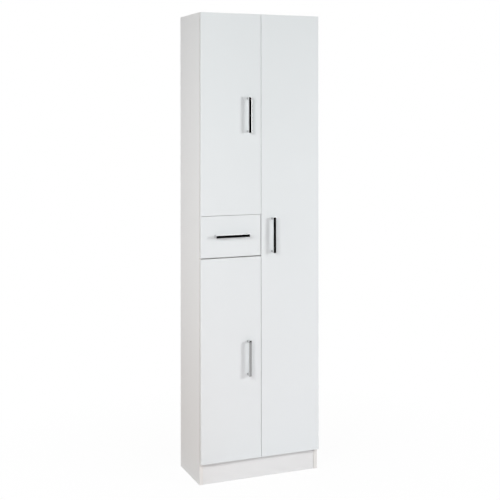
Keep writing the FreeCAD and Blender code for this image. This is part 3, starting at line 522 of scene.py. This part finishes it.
def epoxy_material():
    """Powder coat: an orange-peel skin of about two millimetres."""
    material, tree, shader = new_material("white_epoxy")
    peel = noise(tree, object_place(tree), PEEL, detail=1.5)
    tree.links.new(toned(tree, EPOXY_WHITE, spread(tree, peel, *EPOXY_TONE)), shader.inputs["Base Color"])
    tree.links.new(spread(tree, peel, *EPOXY_GLOSS), shader.inputs["Roughness"])
    tree.links.new(dent(tree, peel, strength=0.2, depth=0.0001), shader.inputs["Normal"])
    return material


EPOXY = epoxy_material()
for name in ("case_rail_left", "case_rail_right", "drawer_rail_left", "drawer_rail_right"):
    wear_finish(nodes[name], EPOXY)

# Drawer box: sides and back in thinner melamine board, a hardboard bottom in grooves.
# Beech dowels, fluted and glued, join the front to the sides.
BEECH_DARK = (0.47, 0.30, 0.17, 1)
BEECH_PALE = (0.62, 0.44, 0.27, 1)
BEECH_ROUGH = (0.55, 0.7)
BEECH_GRAIN = (1400.0, 60.0, 1400.0)

for name in ("drawer_side_left", "drawer_side_right"):
    wear_finish(nodes[name], board_material(name, ("-y", "+y", "-z")))
wear_finish(nodes["drawer_back"], board_material("drawer_back", ("-x", "+x", "-z")))
wear_finish(nodes["drawer_bottom"], hardboard_material("drawer_hardboard", (0, 0, 1)))


def beech_material():
    """Beech turned to a rod: fine grain along the rod with short darker flecks."""
    material, tree, shader = new_material("beech")
    grain = noise(tree, stretched(tree, object_place(tree), BEECH_GRAIN), 1.0, detail=4.0)
    wood = mixed(tree, spread(tree, grain, 0.0, 1.0), BEECH_DARK, BEECH_PALE)
    tree.links.new(wood, shader.inputs["Base Color"])
    tree.links.new(spread(tree, grain, *BEECH_ROUGH), shader.inputs["Roughness"])
    tree.links.new(dent(tree, grain, strength=0.3, depth=0.0001), shader.inputs["Normal"])
    return material


wear_finish(nodes["drawer_dowels"], beech_material())

# Fronts: three doors and a drawer front in board with a cooler, slightly smoother white than the case.
# All four edges carry a plastic band of nearly the same white, so the boards look alike all round.
FRONT_WHITE = (0.744, 0.779, 0.787, 1)
FRONT_CLOUD = 0.012
FRONT_GLOSS = 0.36
FRONT_BAND_WHITE = (0.735, 0.752, 0.754, 1)
FRONT_BAND_GLOSS = 0.32
EASE = 0.0008


def front_material():
    """Satin front foil: the melamine group with a cooler white and a lower roughness."""
    material, tree, shader = new_material("front_foil")
    paper = place_group(tree, MELAMINE, Paper=FRONT_WHITE, Cloud=FRONT_CLOUD, Gloss=FRONT_GLOSS)
    tree.links.new(paper["Colour"], shader.inputs["Base Color"])
    tree.links.new(paper["Roughness"], shader.inputs["Roughness"])
    tree.links.new(dent(tree, paper["Height"], strength=0.12, depth=0.00003), shader.inputs["Normal"])
    return material


def edge_loop(name):
    """A band round a front's four edges: a strip profile carried round its rectangle with mitred corners.

    Each profile point is a step out from the rectangle and a depth behind the front face."""
    low, high = (np.array(corner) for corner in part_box(name))
    thick = high[1] - low[1]
    start, stop = EASE, thick - BAND_INSET
    profile = np.array([(-BAND_DEEP, start), (0.0, start), (BAND_PROUD, start + BAND_PROUD),
                        (BAND_PROUD, stop - BAND_PROUD), (0.0, stop), (-BAND_DEEP, stop)])
    out = profile[:, 0]
    y = low[1] + profile[:, 1]
    x = np.stack([low[0] - out, high[0] + out, high[0] + out, low[0] - out])
    z = np.stack([low[2] - out, low[2] - out, high[2] + out, high[2] + out])
    points = np.stack([x, np.broadcast_to(y, x.shape), z], axis=-1)
    return points, ring_faces(4, len(profile), closed=True)


FRONT_FOIL = front_material()
FRONT_BAND = band_material("front_band", FRONT_BAND_WHITE, FRONT_BAND_GLOSS)
for name, body in [("door_" + door, door + "_door") for door in DOORS] + [("drawer_front", "drawer")]:
    wear_finish(nodes[name], FRONT_FOIL)
    band = mesh_piece("edge_band_" + name, *edge_loop(name))
    wear_finish(band, FRONT_BAND)
    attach(band, body)

# Handles: cast bars with bevelled edges and rounded ends, polished and chromed.
# Each stands on two short legs a little in from its ends and is held by two screws through the front.
BAR_THICK = 0.0065
EDGE_BEVEL = 0.0004
BEVEL_LEAN = 0.5
END_ROUND = 0.0010
END_DROP = 0.4
LEG_INSET = 0.006
LEG_HALF = 0.004
LEG_SLIM = 0.0002
LEG_ROUND = 0.0012
LEG_FLARE = 0.0015
LEG_SUNK = 0.0005
FLAT_STEP = 0.00008
CORNER_POINTS = 7
TURN_POINTS = 8
POLISHED_DARK = (0.84, 0.845, 0.85, 1)
POLISHED_PALE = (0.87, 0.874, 0.878, 1)
POLISHED_GLOSS = (0.03, 0.05)
# The legs' darker chrome is painted shade: it stands in for the dark look of the legs beside the bright bar.
LEG_SHADE_DARK = (0.50, 0.505, 0.51, 1)
LEG_SHADE_PALE = (0.56, 0.564, 0.568, 1)
LEG_GLOSS = (0.14, 0.2)
LEG_BEHIND = 0.0002
HAZE = 220.0


def round_corner():
    """A quarter circle of radius one, from the first side to the second."""
    arc = np.radians(np.linspace(0, 90, CORNER_POINTS))
    return np.stack([np.cos(arc), np.sin(arc)], axis=-1)


def bevel_corner(step):
    """A flat that leans to the front, with a short step inside both ends that keeps it true.

    It runs from (1, 1 - lean) on the first side to (0, 1) on the second."""
    share = np.array([0.0, step, 1.0 - step, 1.0])
    return np.stack([1.0 - share, 1.0 - BEVEL_LEAN * (1.0 - share)], axis=-1)


def cornered_rings(wide, deep, corner, shape):
    """Rectangles with shaped corners, one ring for each pair of half sizes in `wide` and `deep`.

    Each corner is the unit shape at the corner's size, with a short step beside it to keep the flats true."""
    step = FLAT_STEP / corner
    quarter = np.concatenate([[[1.0, -step]], shape, [[-step, 1.0]]])
    signs = np.array([(1, 1), (-1, 1), (-1, -1), (1, -1)])
    section = corner * np.concatenate([quarter[::sign[0] * sign[1]] * sign for sign in signs])
    sides = np.repeat(signs, len(quarter), axis=0)
    across = sides[:, 0] * (wide[:, None] - corner) + section[:, 0]
    through = sides[:, 1] * (deep[:, None] - corner) + section[:, 1]
    return np.stack([across, through], axis=-1)


def carried(start, axes, rings, places, first):
    """Rings carried along a straight line and closed by end faces; corner numbers count from `first`.

    A point is the start plus its two offsets and its place along the line, each times its own axis."""
    across, through, along = axes
    points = start + rings[..., :1] * across + rings[..., 1:] * through + places[:, None, None] * along
    count = rings.shape[1]
    last = first + (len(places) - 1) * count
    faces = (np.array(ring_faces(len(places), count)) + first).tolist()
    faces += [list(range(first, first + count))[::-1], list(range(last, last + count))]
    return points.reshape(-1, 3), faces


def bow_mesh(name, across):
    """A bar handle in the box of its node, made of three closed shells; `across` lays it level.

    The bar is a bevelled rectangle carried along its length and drawn in on a quarter circle at both ends.
    Each leg is a rounded rectangle carried out from the front, flared on a quarter circle at the bar."""
    low, high = (np.array(corner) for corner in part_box(name))
    x, y, z = np.eye(3)
    wide_axis, long_axis = (z, -x) if across else (x, z)
    half, wide = (abs((high - low) @ axis) / 2 for axis in (long_axis, wide_axis))
    middle = (low + high) / 2
    turn = np.radians(np.linspace(0, 90, TURN_POINTS))
    end = np.append(END_ROUND * (1 - np.cos(turn)), END_ROUND + FLAT_STEP) - half
    drawn = np.append(END_ROUND * (1 - np.sin(turn)), 0.0)
    drawn = np.concatenate([drawn, drawn[::-1]])
    bevel = bevel_corner(FLAT_STEP / EDGE_BEVEL)
    rings = cornered_rings(wide - drawn, BAR_THICK / 2 - END_DROP * drawn, EDGE_BEVEL, bevel)
    middle[1] = low[1] + BAR_THICK / 2
    points, faces = carried(middle, (wide_axis, y, long_axis), rings, np.concatenate([end, -end[::-1]]), 0)
    reach = high[1] - low[1] - BAR_THICK
    rise = reach - LEG_FLARE + LEG_FLARE * np.sin(turn)
    places = np.concatenate([[0.0, FLAT_STEP, rise[0] - FLAT_STEP], rise, [reach + LEG_SUNK]])
    grown = LEG_HALF + LEG_FLARE * np.concatenate([np.zeros(3), 1 - np.cos(turn), [1.0]])
    rings = cornered_rings(np.full(len(places), wide - LEG_SLIM), grown, LEG_ROUND, round_corner())
    middle[1] = high[1]
    for side in (-1, 1):
        start = middle + side * (half - LEG_INSET) * long_axis
        leg_points, leg_faces = carried(start, (wide_axis, long_axis, -y), rings, places, len(points))
        points = np.concatenate([points, leg_points])
        faces += leg_faces
    return points, faces


def chrome_material():
    """Chrome: a mirror with the faintest polishing haze on the bar, and on the legs a darker, duller chrome
    that is painted shade for their dark look.

    The depth in the cabinet's frame tells the two apart: the legs begin just behind the bar."""
    material, tree, shader = new_material("bright_chrome")
    place = object_place(tree)
    haze = noise(tree, place, HAZE, detail=3.0)
    depth = add_node(tree, "ShaderNodeSeparateXYZ", {0: place}).outputs[1]
    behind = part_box("handle_upper")[0][1] + BAR_THICK + LEG_BEHIND
    leg = spread(tree, depth, 0.0, 1.0, behind - FLAT_STEP, behind + FLAT_STEP)
    polished = mixed(tree, haze, POLISHED_DARK, POLISHED_PALE)
    leg_tone = mixed(tree, haze, LEG_SHADE_DARK, LEG_SHADE_PALE)
    shader.inputs["Metallic"].default_value = 1.0
    tree.links.new(mixed(tree, leg, polished, leg_tone), shader.inputs["Base Color"])
    rough = mixed_value(tree, leg, spread(tree, haze, *POLISHED_GLOSS), spread(tree, haze, *LEG_GLOSS))
    tree.links.new(rough, shader.inputs["Roughness"])
    return material


CHROME = chrome_material()
for front, body in [(door, door + "_door") for door in DOORS] + [("drawer", "drawer")]:
    bow = mesh_piece("bow_" + front, *bow_mesh("handle_" + front, front == "drawer"), smooth=True)
    wear_finish(bow, CHROME)
    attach(bow, body)
    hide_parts("handle_" + front)

# Bumpers: small clear pads of soft polyurethane that quieten the fronts.
# They are self-adhesive and stuck to the front edges of the case.
PAD_GREY = (0.86, 0.87, 0.86, 1)
PAD_CLEAR = (0.92, 0.93, 0.92, 1)
PAD_GLOSS = (0.16, 0.26)
PAD_DIMPLES = 1800.0


def pad_material():
    """Clear soft plastic with a faintly uneven skin."""
    material, tree, shader = new_material("clear_pad")
    skin = noise(tree, object_place(tree), PAD_DIMPLES, detail=1.0)
    shader.inputs["Transmission Weight"].default_value = 0.75
    shader.inputs["IOR"].default_value = 1.45
    tree.links.new(mixed(tree, skin, PAD_GREY, PAD_CLEAR), shader.inputs["Base Color"])
    tree.links.new(spread(tree, skin, *PAD_GLOSS), shader.inputs["Roughness"])
    return material


wear_finish(nodes["bumpers"], pad_material())

# Floor and surround: a sheet of pale paper, white to the lens, that keeps a faint shadow of the cabinet.
# Other light meets the paper's own tones, and a white surround that is dimmer to it than to the lens.
FLOOR_REACH = 14.0
SHADOW_SHARE = 0.05
SHADOW_FADE = (0.4, 1.3)
PAPER_WHITE = (0.80, 0.80, 0.80, 1)
WARM_PATCH = (0.42, 0.31, 0.23, 1)
WARM_FADE = (-0.55, -0.15)
FAR_FLOOR = (0.45, 0.45, 0.45, 1)
FAR_FADE = (0.8, 2.6)
WHITE = (1, 1, 1, 1)
AMBIENT = 0.24


def looked_at(tree):
    """1 for light that goes to the lens, to a mirror or through clear plastic, and 0 for other light."""
    path = add_node(tree, "ShaderNodeLightPath").outputs
    mirrored = calculated(tree, "MAXIMUM", path["Is Camera Ray"], path["Is Glossy Ray"])
    return calculated(tree, "MAXIMUM", mirrored, path["Is Transmission Ray"])


def floor_material():
    """White to the lens and to mirrors, less a faint lit share near the object, which carries its shadow.

    Other light meets pale paper near the object, a warmer patch on its left and a dimmer floor far off."""
    material, tree, shader = new_material("floor_paper")
    place = object_place(tree)
    far = add_node(tree, "ShaderNodeVectorMath", {0: place}, operation="LENGTH").outputs["Value"]
    share = spread(tree, far, SHADOW_SHARE, 0.0, *SHADOW_FADE)
    rest = calculated(tree, "SUBTRACT", 1.0, share)
    glow = add_node(tree, "ShaderNodeEmission", {"Color": WHITE, "Strength": rest}).outputs[0]
    grey = add_node(tree, "ShaderNodeCombineColor", {0: share, 1: share, 2: share}).outputs[0]
    lit = add_node(tree, "ShaderNodeBsdfDiffuse", {"Color": grey}).outputs[0]
    white = add_node(tree, "ShaderNodeAddShader", {0: glow, 1: lit}).outputs[0]
    aside = add_node(tree, "ShaderNodeSeparateXYZ", {0: place}).outputs[0]
    close = mixed(tree, spread(tree, aside, 1.0, 0.0, *WARM_FADE), PAPER_WHITE, WARM_PATCH)
    beyond = spread(tree, far, 0.0, 1.0, *FAR_FADE)
    tree.links.new(mixed(tree, beyond, close, FAR_FLOOR), shader.inputs["Base Color"])
    shader.inputs["Roughness"].default_value = 1.0
    shader.inputs["Specular IOR Level"].default_value = 0.0
    inputs = {0: looked_at(tree), 1: shader.outputs[0], 2: white}
    both = add_node(tree, "ShaderNodeMixShader", inputs).outputs[0]
    tree.links.new(both, tree.nodes["Material Output"].inputs["Surface"])
    return material


def stage_sheet(name, corners, material):
    """One flat four-cornered sheet of the stage."""
    sheet = mesh_piece(name, corners, [[0, 1, 2, 3]])
    wear_finish(sheet, material)
    return sheet


def flat_corners(low, high):
    """The corners, in turn, of an upright or level rectangle between two opposite ones.

    The low and high corners agree along one axis, and the corners step along the other two."""
    low, high = np.array(low), np.array(high)
    first, second = np.flatnonzero(high != low)
    corners = np.repeat(low[None], 4, axis=0)
    corners[1:3, first] = high[first]
    corners[2:, second] = high[second]
    return corners


stage_sheet("floor", flat_corners((-FLOOR_REACH, -FLOOR_REACH, 0.0), (FLOOR_REACH, FLOOR_REACH, 0.0)),
            floor_material())
world = bpy.data.worlds.new("surround")
world.use_nodes = True
bpy.context.scene.world = world
surround = world.node_tree.nodes["Background"]
surround.inputs["Color"].default_value = WHITE
strength = spread(world.node_tree, looked_at(world.node_tree), AMBIENT, 1.0, 0.0, 1.0)
world.node_tree.links.new(strength, surround.inputs["Strength"])

# Painted reflections: glowing sheets that only the polished handles show, and that cast no shadow and light
# no matt surface.
# A dark one across the room paints the black of the upper bars, and a grey one on the floor paints the grey
# of the lowest.
# Bright ones at both sides and above glow brighter than white and paint the light lines on the bevels as
# painted highlights.
# Glow levels of the painted reflections and painted highlights, with white at 1.
DARK_LEVEL = 0.004
GREY_LEVEL = 0.39
LEFT_LEVEL = 2.2
RIGHT_LEVEL = 11.0
TOP_LEVEL = 4.5
DARK_FOOT = ((-0.090, -2.694), (1.760, -1.939))
DARK_HEIGHT = 2.3
GREY_NEAR = -0.9
SHEET_LIFT = 0.002
LEFT_CORNERS = ((-2.0, -1.6, 0.0), (-2.0, 0.6, 2.2))
RIGHT_CORNERS = ((2.0, -1.1, 1.1), (2.0, -0.3, 1.6))
TOP_CORNERS = ((0.1, -2.2, 2.6), (1.3, -1.2, 2.6))


def painted_reflection_material(name, level):
    """A glowing sheet of one level, a painted reflection seen in polished metal and clear to light off a matt
    surface.
    """
    material, tree, shader = new_material(name)
    tree.nodes.remove(shader)
    bounces = add_node(tree, "ShaderNodeLightPath").outputs["Diffuse Depth"]
    bounced = spread(tree, bounces, 0.0, 1.0, 0.0, 1.0)
    glow = add_node(tree, "ShaderNodeEmission", {"Color": (level, level, level, 1)}).outputs[0]
    clear = add_node(tree, "ShaderNodeBsdfTransparent").outputs[0]
    both = add_node(tree, "ShaderNodeMixShader", {0: bounced, 1: glow, 2: clear}).outputs[0]
    tree.links.new(both, tree.nodes["Material Output"].inputs["Surface"])
    return material


foot = [(x, y, SHEET_LIFT) for x, y in DARK_FOOT]
head = [(x, y, DARK_HEIGHT) for x, y in DARK_FOOT[::-1]]
near = [(x, GREY_NEAR, SHEET_LIFT) for x, y in DARK_FOOT[::-1]]
for name, corners, level in (("painted_dark_reflection", foot + head, DARK_LEVEL), ("painted_grey_reflection", foot + near, GREY_LEVEL),
                             ("painted_left_highlight", flat_corners(*LEFT_CORNERS), LEFT_LEVEL),
                             ("painted_right_highlight", flat_corners(*RIGHT_CORNERS), RIGHT_LEVEL),
                             ("painted_top_highlight", flat_corners(*TOP_CORNERS), TOP_LEVEL)):
    # Each sheet is a painted reflection: hidden from the lens, from matt surfaces and from shadows.
    reflection_sheet = stage_sheet(name, corners, painted_reflection_material(name, level))
    reflection_sheet.visible_camera = False
    reflection_sheet.visible_diffuse = False
    reflection_sheet.visible_shadow = False

# Lights: two soft boxes at forty-five degrees to the fronts, a screen at the left side and a wide one ahead.
# A low strip and a glow from the floor warm the foot, and small screens light the top and the back.
# None of them shows in the chrome, which mirrors the painted-reflection sheets instead.
PLUMB = 0.0001


def soft_box(name, place, target, size, power, colour=(1.0, 1.0, 1.0)):
    """A soft box, so wide and so high in metres and so strong in watts, at a place and turned to a target.

    One that looks straight up or down has its target a hair further back, so that its width runs along x."""
    light = bpy.data.lights.new(name, "AREA")
    light.shape = "RECTANGLE"
    light.size, light.size_y = size
    light.energy = power
    light.color = colour
    lamp = bpy.data.objects.new(name, light)
    lamp.location = place
    aim = np.array(target) - np.array(place)
    lean = math.atan2(math.hypot(aim[0], aim[1]), -aim[2])
    lamp.rotation_euler = (lean, 0, math.atan2(aim[1], aim[0]) - math.pi / 2)
    lamp.visible_glossy = False
    lamp.visible_camera = False
    bpy.context.scene.collection.objects.link(lamp)


soft_box("right_box", place=(1.95, -2.05, 1.43), target=(0, -0.1, 1.0), size=(0.6, 0.6), power=33.7)
soft_box("left_box", place=(-1.95, -2.05, 1.97), target=(0, -0.1, 0.95), size=(0.7, 0.7), power=30.0)
soft_box("side_screen", place=(-1.55, -0.40, 1.02), target=(-0.25, 0.1, 1.02), size=(0.9, 1.4), power=8.1)
soft_box("front_strip", place=(0.0, -2.6, 1.25), target=(0, -0.1, 1.1), size=(3.0, 1.6), power=8.0)
soft_box("low_strip", place=(-0.45, -1.6, 0.24), target=(-0.1, -0.1, 0.45), size=(2.6, 0.4), power=2.8,
         colour=(1.0, 0.86, 0.95))
soft_box("floor_glow", place=(-0.05, -0.85, 0.015), target=(-0.05, -0.85 + PLUMB, 1.0), size=(1.8, 0.9),
         power=1.2, colour=(1.0, 0.75, 0.80))
soft_box("top_screen", place=(0.0, 0.03, 2.55), target=(0.0, 0.03 + PLUMB, 1.82), size=(0.4, 0.2), power=2.6)
soft_box("back_screen", place=(0.0, 1.9, 1.5), target=(0.0, 0.13, 0.9), size=(1.0, 1.0), power=13.0)

# Camera: level with the upper handle and to the left of the cabinet, looking straight ahead.
# The lens is shifted off centre as far as the framing asks, so that upright lines stay parallel.
IMAGE_PIXELS = 500.0
FOCAL_PIXELS = 1005.78
PRINCIPAL_ROW = 110.26
SENSOR_WIDTH = 36.0
CAMERA_PLACE = (-1.51992, -3.75277, 1.44024)
CAMERA_TILT = 0.00065
CAMERA_ROLL = 0.00074
CAMERA_TURN = -0.38456

lens = bpy.data.cameras.new("photo_camera")
lens.sensor_width = SENSOR_WIDTH
lens.lens = SENSOR_WIDTH * FOCAL_PIXELS / IMAGE_PIXELS
lens.shift_y = (PRINCIPAL_ROW - IMAGE_PIXELS / 2) / IMAGE_PIXELS
camera = bpy.data.objects.new("photo_camera", lens)
camera.location = CAMERA_PLACE
camera.rotation_euler = (math.radians(90) + CAMERA_TILT, CAMERA_ROLL, CAMERA_TURN)
bpy.context.scene.collection.objects.link(camera)
bpy.context.scene.camera = camera
bpy.context.scene.view_settings.view_transform = "Standard"
